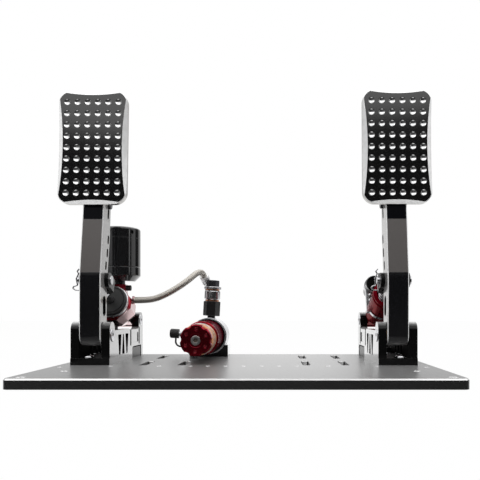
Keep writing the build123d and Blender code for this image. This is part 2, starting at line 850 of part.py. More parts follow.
def master_outlet():
    """Union on the inner flat of the master cylinder where the hose starts."""
    start = hose_route[0]
    flat_x = -pedal_offset + master_half_width
    union = cross_disc(outlet_radius, flat_x, start[0] - flat_x, start[1], start[2])
    return union


def neck_plug():
    """Small plug in the side of the reservoir's neck."""
    plug = cross_disc(plug_radius, neck_half_width, plug_length, neck_y, plug_height_z)
    plug = fillet(plug.edges().sort_by(Axis.X)[-1], edge_break)
    return plug


def reservoir_neck():
    """Threaded adapter between the neck and the tank."""
    top = tank_bottom_z - neck_top_z
    return Pos(0, neck_y, neck_top_z) * rod(adapter_radius, top)


def reservoir_tank():
    """Round tank with a chamfered foot, open at the top."""
    height = tank_top_z - tank_bottom_z
    groove_z = ring_line_z - tank_bottom_z
    half = Polyline(
        (0, 0), (tank_radius - tank_chamfer, 0), (tank_radius, tank_chamfer),
        (tank_radius, groove_z), (tank_radius - tank_groove, groove_z + tank_groove / 2),
        (tank_radius, groove_z + tank_groove), (tank_radius, height),
        (tank_radius - tank_wall, height), (tank_radius - tank_wall, tank_wall + tank_chamfer),
        (tank_radius - tank_wall - tank_chamfer, tank_wall), (0, tank_wall), (0, 0))
    return Pos(0, neck_y, tank_bottom_z) * revolve(Plane.XZ * make_face(half), Axis.Z)


def reservoir_cap():
    """Screwed cap with six blind spanner holes round its edge."""
    height = cap_top_z - tank_top_z
    body = rod(tank_radius, height)
    body = fillet(body.edges().sort_by(Axis.Z)[-1], cap_round)
    body += Pos(0, 0, -cap_spigot) * rod(tank_radius - tank_wall - running_gap, cap_spigot)
    hole = Pos(tank_radius + overrun, 0, height / 2) * Rot(0, -90, 0)
    hole = hole * rod(cap_hole_radius, cap_hole_depth + overrun)
    for step in range(cap_hole_count):
        body -= Rot(0, 0, cap_hole_turn - 90 + step * 360 / cap_hole_count) * hole
    return Pos(0, neck_y, tank_top_z) * body


def slave_axis(y):
    """Place on the slave's axis: local Z towards the rear, local Y down."""
    turn = Plane(origin=(slave_x, y, slave_z), x_dir=(1, 0, 0), z_dir=(0, 1, 0))
    return Location(turn) * Rot(0, 0, slave_lean)


def slave_body():
    """Bright hydraulic body with its bore, port and nipple seat."""
    length = slave_rear_y - slave_front_y
    body = rod(slave_radius, length)
    body = chamfer(body.edges().sort_by(Axis.Z)[-1], slave_chamfer)
    body = fillet(body.edges().sort_by(Axis.Z)[0], edge_break)
    body -= rod(piston_stem_radius + running_gap, slave_bore_end - slave_front_y)
    body -= rod(tie_radius + seat_gap, length - 2 * slave_chamfer)
    seat = port_y - slave_front_y
    port_flat = Pos(0, -port_seat() - overrun, seat) * Box(4 * port_neck_radius, 2 * overrun, 4 * port_neck_radius)
    side_flat = Pos(-nipple_seat() - overrun, 0, seat) * Box(2 * overrun, 2 * nipple_hex_flats, 2 * nipple_hex_flats)
    return slave_axis(slave_front_y) * (body - port_flat - side_flat)


def port_seat():
    """Height of the port's flat above the slave's axis."""
    return slave_radius - edge_break


def nipple_seat():
    """Distance of the nipple's flat from the slave's axis."""
    return slave_radius - edge_break


def slave_flange():
    """Black ring that joins the body and the barrel."""
    ring = tube(flange_radius, piston_stem_radius + running_gap, flange_thick)
    return slave_axis(slave_front_y - flange_thick) * ring


def slave_barrel():
    """Red barrel round the piston's stem."""
    length = slave_front_y - flange_thick - barrel_front_y
    return slave_axis(barrel_front_y) * tube(barrel_radius, piston_stem_radius + running_gap, length)


def rim_front_y():
    """Where the piston's rim meets the elastomer stack."""
    return barrel_front_y - soft_gap - piston_rim_thick


def slave_piston():
    """Piston: a bright-edged rim in front of the barrel and a stem inside it."""
    rim = rod(piston_rim_radius, piston_rim_thick)
    rim = chamfer(rim.edges(), 2 * edge_break)
    stem = Pos(0, 0, piston_rim_thick) * rod(piston_stem_radius, slave_piston_end - rim_front_y() - piston_rim_thick)
    hole = rod(tie_radius + running_gap, slave_piston_end)
    return slave_axis(rim_front_y()) * (rim + stem - hole)


def elastomer_length():
    """Length of one elastomer at rest."""
    spacers = (elastomer_count - 1) * washer_thick
    return (rim_front_y() - stack_front_y - spacers) / elastomer_count


def elastomers():
    """Soft blocks that give the brake its feel, each with a slight waist."""
    length = elastomer_length()
    hole = tie_radius + soft_gap
    pieces = []
    for index in range(elastomer_count):
        waist = elastomer_radius - elastomer_waist
        outline = Polyline((elastomer_radius, 0), (hole, 0), (hole, length), (elastomer_radius, length))
        outline += ThreePointArc((elastomer_radius, length), (waist, length / 2), (elastomer_radius, 0))
        shape = revolve(Plane.XZ * make_face(outline), Axis.Z)
        start = stack_front_y + index * (length + washer_thick)
        pieces.append(slave_axis(start) * shape)
    return pieces


def stack_washers():
    """Thin washers between the elastomers."""
    washers = []
    for index in range(elastomer_count - 1):
        start = stack_front_y + (index + 1) * elastomer_length() + index * washer_thick
        washers.append(slave_axis(start) * tube(washer_radius, tie_radius + soft_gap, washer_thick))
    return washers


def cap_outline():
    """Round cap scalloped between its screws."""
    shape = Circle(cap_radius)
    ring = cap_radius + cap_lobe_radius * 0.72
    for step in range(cap_screw_count):
        turn = Rot(0, 0, step * 360 / cap_screw_count)
        shape -= turn * Pos(ring, 0) * Circle(cap_lobe_radius)
    return shape


def slave_cap():
    """Red front cap with six screw seats and a recess for the tie rod's head."""
    body = extrude(cap_outline(), amount=cap_thick)
    front = body.edges().group_by(Axis.Z)[0]
    body = chamfer(front, cap_chamfer)
    body -= rod(tie_radius + seat_gap, cap_thick)
    body -= rod(tie_recess_radius, tie_recess_depth)
    for step in range(cap_screw_count):
        turn = Rot(0, 0, 30 + step * 360 / cap_screw_count) * Pos(cap_screw_circle, 0, 0)
        body -= turn * rod(cap_screw_head_radius + seat_gap, cap_screw_head_height)
        body -= turn * rod(cap_screw_radius + seat_gap, cap_screw_length)
    return slave_axis(stack_front_y - cap_thick) * body


def cap_screws():
    """Six small socket screws in the cap."""
    screws = []
    for step in range(cap_screw_count):
        turn = Rot(0, 0, 30 + step * 360 / cap_screw_count) * Pos(cap_screw_circle, 0, 0)
        screw = rod(cap_screw_head_radius, cap_screw_head_height) + rod(cap_screw_radius, cap_screw_length)
        screw -= hexagon_bar(cap_screw_head_radius, cap_screw_head_height / 2)
        screws.append(slave_axis(stack_front_y - cap_thick) * turn * screw)
    return screws


def tie_rod():
    """Rod that holds cap and stack to the body; its socket head shows in front."""
    start = stack_front_y - cap_thick + tie_recess_depth - tie_head_height
    end = slave_rear_y - 3 * slave_chamfer
    body = rod(tie_radius, end - start) + rod(tie_head_radius, tie_head_height)
    body = chamfer(body.edges().group_by(Axis.Z)[0], edge_break / 2)
    body -= hexagon_bar(tie_socket_flats, tie_socket_depth)
    return slave_axis(start) * body


def slave_saddle():
    """Block on the plate that the slave's body lies in."""
    length = saddle_rear_y - saddle_front_y
    centre = Pos(slave_x, (saddle_front_y + saddle_rear_y) / 2, plate_thick + saddle_height / 2)
    body = centre * Box(2 * saddle_half_width, length, saddle_height)
    body = chamfer(body.edges().filter_by(Axis.Z), edge_break)
    cradle = slave_axis(saddle_front_y - overrun) * rod(slave_radius + seat_gap, length + 2 * overrun)
    return body - cradle


def port(height):
    """Place up the leaning port: local Z up, local X to the right."""
    return Pos(slave_x, port_y, slave_z) * Rot(0, slave_lean, 0) * Pos(0, 0, height)


def port_adapter():
    """Black hexagonal adapter on a short round neck."""
    neck = rod(port_neck_radius, port_neck_length)
    body = hexagon_bar(port_hex_flats, port_hex_length)
    caps = body.faces().filter_by(Axis.Z)
    body = chamfer(caps.edges(), edge_break)
    body = neck + Pos(0, 0, port_neck_length) * body
    body -= Pos(0, 0, port_neck_length + port_hex_length / 2) * rod(banjo_shank_radius + seat_gap, port_hex_length)
    return port(port_seat()) * body


def union_heights():
    """Heights of the lower washer, eye, upper washer and bolt flange up the port."""
    lower = port_seat() + port_neck_length + port_hex_length
    eye = lower + washer_copper_thick
    upper = eye + eye_height
    return lower, eye, upper, upper + washer_copper_thick


def copper_washers():
    """Sealing washers below and above the hose's eye."""
    lower, eye, upper, flange = union_heights()
    washer = tube(washer_copper_radius, banjo_shank_radius + running_gap, washer_copper_thick)
    return [port(lower) * washer, port(upper) * washer]


def banjo_bolt():
    """Hollow bolt with a round flange and a hexagonal head."""
    lower, eye, upper, flange = union_heights()
    shank_start = lower - port_hex_length / 2 + overrun
    body = port(shank_start) * rod(banjo_shank_radius, flange - shank_start)
    collar = rod(bolt_flange_radius, bolt_flange_thick)
    collar = chamfer(collar.edges().sort_by(Axis.Z)[-1], edge_break)
    body += port(flange) * collar
    head = hexagon_bar(banjo_hex_flats, banjo_hex_height)
    head = chamfer(head.faces().sort_by(Axis.Z)[-1].edges(), edge_break)
    head -= Pos(0, 0, banjo_hex_height / 2) * rod(bolt_socket_radius * 1.6, banjo_hex_height)
    return body + port(flange + bolt_flange_thick) * head


def hose_end():
    """Last point of the hose and the direction that it leaves in."""
    last = Vector(*hose_route[-1])
    before = Vector(*hose_route[-2])
    return last, (last - before).normalized()


def banjo_fitting():
    """Ring eye on the bolt, and the bent neck that leads to the ferrule."""
    lower, eye, upper, flange = union_heights()
    ring = rod(eye_radius, eye_height)
    ring = fillet(ring.edges(), eye_round)
    ring = port(eye) * ring
    centre = port(eye + eye_height / 2).position
    angle = radians(neck_azimuth)
    outward = Vector(cos(angle), sin(angle), 0)
    last, direction = hose_end()
    foot = last + direction * ferrule_length
    path = FilletPolyline(
        centre + outward * (eye_radius / 2), centre + outward * neck_run,
        foot + direction * ferrule_lead, foot, radius=[neck_turn_radius, neck_end_radius])
    start = Plane(origin=path @ 0, z_dir=path % 0)
    neck = sweep(start * Circle(neck_tube_radius), path=path)
    body = ring + neck
    return body - port(eye - overrun) * rod(banjo_shank_radius + running_gap, eye_height + 2 * overrun)


def hose_ferrule():
    """Crimped sleeve on the end of the hose, fluted along its length."""
    last, direction = hose_end()
    body = rod(ferrule_radius, ferrule_length)
    body = chamfer(body.edges(), edge_break)
    flute = Pos(ferrule_radius, 0, ferrule_length * 0.12)
    flute = flute * rod(ferrule_groove_radius, ferrule_length * 0.7)
    for step in range(ferrule_grooves):
        body -= Rot(0, 0, step * 360 / ferrule_grooves) * flute
    return Location(Plane(origin=last, z_dir=direction)) * body


def brake_hose():
    """Braided hose from the master cylinder to the slave, straight runs and tangent arcs."""
    points = [Vector(*point) for point in hose_route]
    radii = []
    for before, here, after in zip(points, points[1:], points[2:]):
        first = here - before
        second = after - here
        turn = first.get_angle(second)
        shorter = min(first.length, second.length)
        radii.append(0.45 * shorter / tan(radians(turn / 2)))
    print("hose radii", [round(radius, 1) for radius in radii])
    path = FilletPolyline(*points, radius=radii)
    start = Plane(origin=path @ 0, z_dir=path % 0)
    hose = sweep(start * Circle(hose_radius), path=path)
    print("hose volume over section times length",
          round(hose.volume / (pi * hose_radius ** 2 * path.length), 4))
    return hose


def nipple_place(distance):
    """Place out along the nipple, which points left and square to the port."""
    return (Pos(slave_x, port_y, slave_z) * Rot(0, slave_lean, 0) * Rot(0, -90, 0)
            * Pos(0, 0, nipple_seat() + distance))


def bleed_nipple():
    """Hexagonal bleed screw with its tapered stem."""
    body = hexagon_bar(nipple_hex_flats, nipple_hex_length)
    body += Pos(0, 0, nipple_hex_length) * rod(nipple_radius, nipple_length - nipple_hex_length)
    return nipple_place(0) * body


def bleed_cap():
    """Rubber cap on the nipple, its strap and the strap's ring."""
    inner = nipple_radius + seat_gap
    body = rod(bleed_cap_radius, bleed_cap_length)
    body = fillet(body.edges().sort_by(Axis.Z)[-1], bleed_cap_round)
    body -= rod(inner, nipple_length - bleed_cap_start + running_gap)
    body = Pos(0, 0, bleed_cap_start) * body
    ring_start = nipple_hex_length + seat_gap
    body += Pos(0, 0, ring_start) * tube(nipple_radius + 2 * tether_radius, inner, 2 * tether_radius)
    edge = nipple_radius + tether_radius
    low = -edge - tether_drop
    first = ring_start + tether_radius
    last = bleed_cap_start + bleed_cap_length / 3
    path = FilletPolyline(
        (-edge, 0, first), (low, 0, first), (low, 0, last), (-edge, 0, last),
        radius=(last - first) * 0.42)
    start = Plane(origin=path @ 0, z_dir=path % 0)
    body += sweep(start * Circle(tether_radius), path=path)
    body -= Pos(0, 0, ring_start - overrun) * rod(inner, nipple_length - ring_start + overrun + running_gap)
    return nipple_place(0) * body


def damper_body():
    """Red tube, open in front over the spring, with a lug for the rear pin."""
    body = rod(tube_radius, tube_end - tube_start)
    for step in (0, 1):
        rib = tube(tube_radius + tube_rib_height, tube_bore, tube_rib_width)
        body += Pos(0, 0, step * tube_rib_spacing) * rib
    body = chamfer(body.edges().sort_by(Axis.Z)[-1], 2 * edge_break)
    body = Pos(0, 0, tube_start) * body + damper_bridge()
    body -= Pos(0, 0, tube_start) * rod(tube_bore, spring_end - tube_start)
    body -= Pos(0, 0, tube_start) * rod(damper_shaft_radius + running_gap, damper_shaft_end - tube_start)
    turned = Location(Plane(origin=(0, 0, 0), x_dir=(0, 0, 1), z_dir=(1, 0, 0)))
    lug = area(tube_end - overrun, link_length, -lug_half_height, lug_half_height)
    lug += Pos(link_length, 0) * Circle(lug_eye_radius)
    lug = extrude(turned * lug, amount=lug_half_width, both=True)
    eye = extrude(turned * (Pos(link_length, 0) * Circle(trunnion_radius + running_gap)),
                  amount=lug_half_width + overrun, both=True)
    return on_link(0) * (body + lug - eye)


def spring_seat():
    """Cup behind the fork that the spring bears on."""
    cup = tube(spring_radius + 2 * spring_wire, damper_shaft_radius + seat_gap, spring_seat_thick)
    cup = chamfer(cup.edges().sort_by(SortBy.LENGTH)[-2:], edge_break)
    return on_link(fork_reach + fork_bridge) * cup


def damper_rod():
    """Shaft from the fork into the damper."""
    start = fork_reach + fork_bridge / 2
    return on_link(start) * rod(damper_shaft_radius, damper_shaft_end - shaft_travel - start)


def helix_point(turns, pitch):
    """Point and direction on the spring's centre line after so many turns."""
    angle = 2 * pi * turns
    point = Vector(spring_radius * cos(angle), spring_radius * sin(angle), pitch * turns)
    way = Vector(-sin(angle), cos(angle), pitch / (2 * pi * spring_radius))
    return point, way.normalized()


def helix_arcs(first, second):
    """Two arcs that join smoothly between two points of the spring's centre line."""
    start, leaving = first
    end, arriving = second
    span = end - start
    spread = span.dot(leaving + arriving)
    bend = 2 * (1 - leaving.dot(arriving))
    reach = (-spread + (spread ** 2 + bend * span.dot(span)) ** 0.5) / bend
    middle = (start + end + (leaving - arriving) * reach) / 2
    back = TangentArc(end, middle, tangent=-arriving)
    return [TangentArc(start, middle, tangent=leaving), back]


def return_spring():
    """Coil spring between its seat and the floor of the tube."""
    start = fork_reach + fork_bridge + spring_seat_thick + spring_wire + soft_gap
    length = spring_end - spring_wire - soft_gap - start
    pitch = length / spring_turns
    print("spring gap between turns", round(least_coil_gap(pitch), 2))
    quarters = [helix_point(step / 4, pitch) for step in range(4 * spring_turns + 1)]
    arcs = []
    for first, second in zip(quarters, quarters[1:]):
        arcs += helix_arcs(first, second)
    path = Wire([arc.edge() for arc in arcs])
    point, way = quarters[0]
    coil = sweep(Plane(origin=point, z_dir=way) * Circle(spring_wire), path=path)
    return on_link(start) * coil


def least_coil_gap(pitch):
    """Least gap between one turn of the spring and the next, measured on points."""
    samples = 48
    base, _ = helix_point(0, pitch)
    near = [helix_point(0.5 + step / samples, pitch)[0] for step in range(samples + 1)]
    return min((point - base).length for point in near) - 2 * spring_wire


def piggy_place(station):
    """Place on the side reservoir's axis."""
    return on_link(station, piggy_up, -piggy_across)


def damper_bridge():
    """Port that joins the damper's tube to its side reservoir."""
    span = hypot(piggy_up, piggy_across)
    lean = degrees(atan2(piggy_across, piggy_up))
    bar = Pos(0, 0, bridge_station) * Rot(0, 0, -lean) * Rot(90, 0, 0) * rod(bridge_radius, span)
    bar -= Pos(-piggy_across, -piggy_up, 0) * rod(piggy_radius + seat_gap, link_length)
    return bar


def damper_reservoir():
    """Side reservoir that lies on the damper's tube."""
    body = rod(piggy_radius, piggy_end - piggy_start)
    body = chamfer(body.edges(), 2 * edge_break)
    return piggy_place(piggy_start) * body


def damper_band():
    """Steel clip: a band round the reservoir, one round the tube and a leg between them."""
    leg_x = -tube_radius
    round_piggy = Pos(-piggy_across, -piggy_up) * Circle(piggy_radius + band_thick)
    outline = round_piggy + Circle(tube_radius + band_thick)
    outline += area(leg_x - band_leg_width, leg_x, -piggy_up, band_leg_foot)
    outline -= Pos(-piggy_across, -piggy_up) * Circle(piggy_radius + seat_gap)
    outline -= Circle(tube_radius + seat_gap)
    return on_link(band_station) * extrude(outline, amount=band_width)


def place(shape, side):
    """Move what was modelled about the middle to a pedal: -1 brake, 1 throttle."""
    return Pos(side * pedal_offset, 0, 0) * shape


def group(shapes):
    """Several separate solids as one node."""
    return Compound(children=[shape.solid() for shape in shapes])


def all_nodes():
    """Every sub-part by name."""
    nodes = {"base_plate": base_plate()}
    bolts = [Pos(x, y) * mount_bolt(seat) for (x, y), seat in zip(bolt_places(), bolt_seats())]
    nodes["mount_bolts"] = group(bolts)
    axles = []
    trunnions = []
    caps = []
    for side, name in ((-1, "brake"), (1, "throttle")):
        slack = pin_slack_brake if side < 0 else pin_slack_throttle
        nodes[name + "_bracket"] = place(bracket(side), side)
        nodes[name + "_rear_block"] = place(rear_block(), side)
        lean = brake_lean if side < 0 else throttle_lean
        turn = brake_clip_turn if side < 0 else throttle_clip_turn
        nodes[name + "_arm"] = place(arm(-side, lean), side)
        nodes[name + "_face"] = place(leaned(face_plate(), lean), side)
        screws = [leaned(screw, lean) for screw in face_screws(-side)]
        nodes[name + "_face_screws"] = place(group(screws), side)
        nodes[name + "_bushes"] = place(group(bushes()), side)
        nodes[name + "_fork"] = place(fork(slack), side)
        nodes[name + "_pin"] = place(clevis_pin(pin_tail_side, turn), side)
        nodes[name + "_pin_clip"] = place(pin_clip(pin_tail_side, turn), side)
        axles.append(place(through_pin(axle_radius, pivot_y, pivot_z), side))
        trunnions.append(place(through_pin(trunnion_radius, trunnion_y, trunnion_z), side))
        for y, z in ((pivot_y, pivot_z), (trunnion_y, trunnion_z)):
            caps += [place(cap, side) for cap in pin_caps(y, z)]
    nodes["pivot_axles"] = group(axles)
    nodes["rear_pins"] = group(trunnions)
    nodes["pin_caps"] = group(caps)
    for name, maker in (
            ("master_body", master_body), ("master_piston", master_piston),
            ("master_ring", master_ring), ("master_boot", master_boot), ("pushrod", pushrod),
            ("pushrod_nut", lock_nut), ("neck_plug", neck_plug),
            ("reservoir_neck", reservoir_neck), ("reservoir_tank", reservoir_tank),
            ("reservoir_cap", reservoir_cap)):
        nodes[name] = place(maker(), -1)
    for name, maker in (
            ("damper_body", damper_body), ("spring_seat", spring_seat),
            ("damper_rod", damper_rod), ("return_spring", return_spring),
            ("damper_reservoir", damper_reservoir), ("damper_band", damper_band)):
        nodes[name] = place(maker(), 1)
    nodes["master_outlet"] = master_outlet()
    nodes["slave_body"] = slave_body()
    nodes["slave_flange"] = slave_flange()
    nodes["slave_barrel"] = slave_barrel()
    nodes["slave_piston"] = slave_piston()
    nodes["slave_elastomers"] = group(elastomers())
    nodes["slave_washers"] = group(stack_washers())
    nodes["slave_cap"] = slave_cap()
    nodes["slave_cap_screws"] = group(cap_screws())
    nodes["slave_tie_rod"] = tie_rod()
    nodes["slave_saddle"] = slave_saddle()
    nodes["port_adapter"] = port_adapter()
    nodes["copper_washers"] = group(copper_washers())
    nodes["banjo_bolt"] = banjo_bolt()
    nodes["banjo_fitting"] = banjo_fitting()
    nodes["hose_ferrule"] = hose_ferrule()
    nodes["brake_hose"] = brake_hose()
    nodes["bleed_nipple"] = bleed_nipple()
    nodes["bleed_cap"] = bleed_cap()
    return nodes


os.makedirs("parts", exist_ok=True)
for name, shape in all_nodes().items():
    export_step(shape, f"parts/{name}.step")
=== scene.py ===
# %% [markdown]
# # Pedals of a driving simulator
#
# The set is a black plate that carries a brake and a throttle. The frame holds every solid at its
# real size and place, so this notebook finishes the surfaces: it copies each solid, joins its
# loose triangles, gives it soft edges and paints it as the machinist and the anodiser would.

# %% Load the frame
import json
from math import cos, pi, radians, sin

import bmesh
import bpy
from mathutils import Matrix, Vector


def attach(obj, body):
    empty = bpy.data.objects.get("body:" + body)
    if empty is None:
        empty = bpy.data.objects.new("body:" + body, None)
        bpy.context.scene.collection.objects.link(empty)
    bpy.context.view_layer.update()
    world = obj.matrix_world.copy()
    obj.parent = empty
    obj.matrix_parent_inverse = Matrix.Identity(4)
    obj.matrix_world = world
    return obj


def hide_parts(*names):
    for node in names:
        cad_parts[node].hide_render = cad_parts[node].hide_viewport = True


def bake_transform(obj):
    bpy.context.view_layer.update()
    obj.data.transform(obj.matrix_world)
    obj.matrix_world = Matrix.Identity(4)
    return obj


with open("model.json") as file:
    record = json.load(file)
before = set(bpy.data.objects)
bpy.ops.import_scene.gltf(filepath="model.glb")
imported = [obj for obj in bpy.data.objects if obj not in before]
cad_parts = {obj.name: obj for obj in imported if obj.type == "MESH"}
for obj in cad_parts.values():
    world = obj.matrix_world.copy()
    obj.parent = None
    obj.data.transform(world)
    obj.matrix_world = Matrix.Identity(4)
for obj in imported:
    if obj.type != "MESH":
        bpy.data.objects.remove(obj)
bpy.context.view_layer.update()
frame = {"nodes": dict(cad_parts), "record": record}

nodes = frame["nodes"]
body_of_node = {node: body for body, members in frame["record"]["behaviour"]["bodies"].items()
                for node in members}
slot_of_node = {part["node"]: part["material_slot"] for part in frame["record"]["subparts"]}

# %% [markdown]
# ## The camera
#
# The photograph was taken from low down, with the camera level: upright lines stay upright and
# both pedals show their inner sides. A level camera that still has the set in the middle of its
# picture needs a shifted lens, the way a view camera does it.

# %% Level camera with a shifted lens
photo_pixels = 480
focal_pixels = 553
camera_spot = Vector((0.0364, -0.654, 0.0706))
camera_data = bpy.data.cameras.new("low_level_camera")
camera_data.sensor_width = 36.0
camera_data.lens = 36.0 * focal_pixels / photo_pixels
camera_data.shift_x = -0.0746
camera_data.shift_y = 0.1508
camera_data.clip_start = 0.01
camera = bpy.data.objects.new("low_level_camera", camera_data)
camera.location = camera_spot
camera.rotation_euler = (radians(90), 0, 0)
bpy.context.scene.collection.objects.link(camera)
bpy.context.scene.camera = camera
print("camera", round(camera_spot.length, 3), "m from the plate's middle")

# %% [markdown]
# ## The brake hose
#
# A braided steel hose with a clear sleeve runs from the master cylinder to the union on the slave
# cylinder. It is stiff, so it leaves its fitting straight and takes one slow bend before the tight
# one over the ferrule. A smooth spline whose control points are the hose's own route gives that
# line, because the spline cuts every corner a little, as stiff hose does.

# %% Route of the hose
hose_diameter = 0.0084
hose_route = (
    (-0.1500, 0.0762, 0.0867), (-0.1345, 0.0762, 0.0867), (-0.1200, 0.0770, 0.0892),
    (-0.1010, 0.0820, 0.0990), (-0.0820, 0.0904, 0.1132), (-0.0734, 0.1014, 0.1232),
    (-0.0690, 0.1090, 0.1262), (-0.0656, 0.1162, 0.1256), (-0.0645, 0.1216, 0.1218),
)


def spline_through(name, route, radius):
    """Round tube along a smooth spline that has the route's points as its control points.

    The thickness is the points' own radius, because a curve's box is measured with it.
    """
    curve = bpy.data.curves.new(name, "CURVE")
    curve.dimensions = "3D"
    curve.resolution_u = 24
    curve.bevel_depth = 1.0
    curve.bevel_resolution = 6
    spline = curve.splines.new("NURBS")
    spline.points.add(len(route) - 1)
    for point, place in zip(spline.points, route):
        point.co = (*place, 1.0)
        point.radius = radius
    spline.order_u = 3
    spline.use_endpoint_u = True
    piece = bpy.data.objects.new(name, curve)
    bpy.context.scene.collection.objects.link(piece)
    return piece


def spline_points(piece):
    """Points along a curve's own line, read without its thickness."""
    curve = piece.data
    depth = curve.bevel_depth
    curve.bevel_depth = 0.0
    bpy.context.view_layer.update()
    line = bpy.data.meshes.new_from_object(piece)
    curve.bevel_depth = depth
    return [vertex.co.copy() for vertex in line.vertices]


brake_hose = spline_through("braided_hose", hose_route, hose_diameter / 2)
hose_line = spline_points(brake_hose)
hose_length = sum((b - a).length for a, b in zip(hose_line, hose_line[1:]))
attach(brake_hose, "base")
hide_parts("brake_hose")
print("hose length", round(hose_length, 4), "m over", len(hose_line), "points")

# %% [markdown]
# ## Wiring shader nodes
#
# The world, the floor and every finish are trees of nodes, and most trees need the same few steps:
# arithmetic, a value mapped to another range, a mix of two numbers or colours. A handful of
# helpers makes each step one call, so that a tree reads like a formula.

# %% Helpers for trees of nodes
tree = None


def start_tree(owner):
    """Build in the tree of this world or material from here on."""
    global tree
    owner.use_nodes = True
    tree = owner.node_tree


def node(kind, **inputs):
    """New node in the tree that is being built, with some of its inputs set."""
    made = tree.nodes.new(kind)
    for name, value in inputs.items():
        made.inputs[name.replace("_", " ")].default_value = value
    return made


def join(source, target):
    """Set a socket from a number, a colour or another socket."""
    if isinstance(source, tuple):
        target.default_value = (*source, 1)
    elif isinstance(source, (int, float)):
        target.default_value = source
    else:
        tree.links.new(source, target)


def axes(vector):
    """The parts X, Y and Z of a vector."""
    split = node("ShaderNodeSeparateXYZ")
    join(vector, split.inputs[0])
    return split.outputs


def blend(low, high, share):
    """Mix two numbers, each a socket or a value."""
    made = node("ShaderNodeMix")
    for socket, value in ((made.inputs[2], low), (made.inputs[3], high), (made.inputs[0], share)):
        join(value, socket)
    return made.outputs[0]


def blend_colours(low, high, share):
    """Mix two colours, each a socket or a value."""
    made = node("ShaderNodeMix")
    made.data_type = "RGBA"
    for socket, value in ((made.inputs[6], low), (made.inputs[7], high), (made.inputs[0], share)):
        join(value, socket)
    return made.outputs[2]


def maths(kind, first, second=0.0):
    """One step of arithmetic on sockets or numbers."""
    made = node("ShaderNodeMath")
    made.operation = kind
    join(first, made.inputs[0])
    join(second, made.inputs[1])
    return made.outputs[0]


def mapped(value, start, end, low=0.0, high=1.0, kind="LINEAR"):
    """Value between start and end mapped to low and high, and held at them outside."""
    made = node("ShaderNodeMapRange", From_Min=start, From_Max=end, To_Min=low, To_Max=high)
    made.interpolation_type = kind
    join(value, made.inputs["Value"])
    return made.outputs[0]


def ramp(value, start, end, low=0.0, high=1.0):
    """Smooth step of a value from low at start to high at end."""
    return mapped(value, start, end, low, high, "SMOOTHSTEP")


def band(value, low, high, soft):
    """One between two limits and nothing outside them."""
    rise = ramp(value, low - soft, low + soft)
    fall = ramp(value, high - soft, high + soft, 1.0, 0.0)
    return maths("MULTIPLY", rise, fall)


# %% [markdown]
# ## Light
#
# Black anodising shows its shape only by what it mirrors. The white wall behind the set turns every
# side that is seen at a flat angle silver, a strip high in front gives the pedal faces their
# lighter upper half, a ceiling lights what faces up, and small dim panels near the horizon put soft
# streaks on round pieces. The low front of the room is dark, so black stays black. Only mirror rays
# meet these panels: a matt surface gets even light, and the camera sees plain white.

# %% World: white behind the set, panels in a dark room in front
scene = bpy.context.scene
scene.view_settings.view_transform = "Standard"
scene.world = bpy.data.worlds.new("white_studio")
start_tree(scene.world)
tree.nodes.clear()
compass = axes(node("ShaderNodeTexCoord").outputs["Generated"])
azimuth = maths("DEGREES", maths("ARCTAN2", compass["X"], maths("MULTIPLY", compass["Y"], -1.0)))
elevation = maths("DEGREES", maths("ARCSINE", compass["Z"]))
dark_room = 0.025
even_light = 0.42
# azimuth from the camera's side and elevation of each panel in degrees, soft edges, radiance
panels = {
    "strip": (-75, 75, 23.0, 32.0, 1.0, 0.86),
    "ceiling": (-200, 200, 34, 74, 1.6, 1.5),
    "overhead": (-200, 200, 68, 95, 6.0, 0.55),
    "left_panel": (-110, -78, -60, 40, 5.0, 0.6),
    "right_panel": (82, 110, -60, 40, 5.0, 0.6),
    "narrow_lamp": (67, 71, 4, 13, 1.0, 1.6),
    "dim_panel": (-60, -24, 3.8, 10.5, 1.2, 0.5),
    "dim_middle": (-11, 5, 3.8, 10.5, 1.2, 0.5),
    "left_wall": (-200, -138, -20, 42, 8.0, 0.68),
    "right_wall": (138, 200, -20, 42, 8.0, 0.68),
    "left_middle": (-200, -168, -20, 42, 8.0, 1.17),
    "right_middle": (168, 200, -20, 42, 8.0, 1.17),
}
mirrored = dark_room
for left, right, low, high, soft, radiance in panels.values():
    panel = maths("MULTIPLY", band(azimuth, left, right, soft), band(elevation, low, high, soft))
    mirrored = maths("MAXIMUM", mirrored, maths("MULTIPLY", panel, radiance))
rays = node("ShaderNodeLightPath").outputs
seen = blend(even_light, mirrored, rays["Is Glossy Ray"])
for kind in ("Is Camera Ray", "Is Transmission Ray"):
    seen = blend(seen, 1.0, rays[kind])
background = node("ShaderNodeBackground", Color=(1, 1, 1, 1))
join(seen, background.inputs["Strength"])
join(background.outputs[0], node("ShaderNodeOutputWorld").inputs["Surface"])
print("panels:", len(panels))

# %% [markdown]
# ### Softboxes
#
# Even light alone leaves matt pieces flat. Large lamps in front, at the sides and overhead shape
# them, as in a product photograph, and they are hidden from mirror rays, because the panels above
# already are what the metal mirrors.

# %% Softboxes
set_middle = Vector((0.0, 0.0, 0.16))


def softbox(name, azimuth, elevation, distance, width, height, radiance):
    """Rectangular lamp aimed at the set; radiance 1 is as bright as white paper."""
    lamp = bpy.data.lights.new(name, "AREA")
    lamp.shape = "RECTANGLE"
    lamp.size = width
    lamp.size_y = height
    lamp.energy = radiance * pi * width * height
    holder = bpy.data.objects.new(name, lamp)
    turn = radians(azimuth)
    rise = radians(elevation)
    away = Vector((sin(turn) * cos(rise), -cos(turn) * cos(rise), sin(rise)))
    holder.location = set_middle + away * distance
    holder.rotation_euler = away.to_track_quat("Z", "Y").to_euler()
    holder.visible_glossy = False
    bpy.context.scene.collection.objects.link(holder)


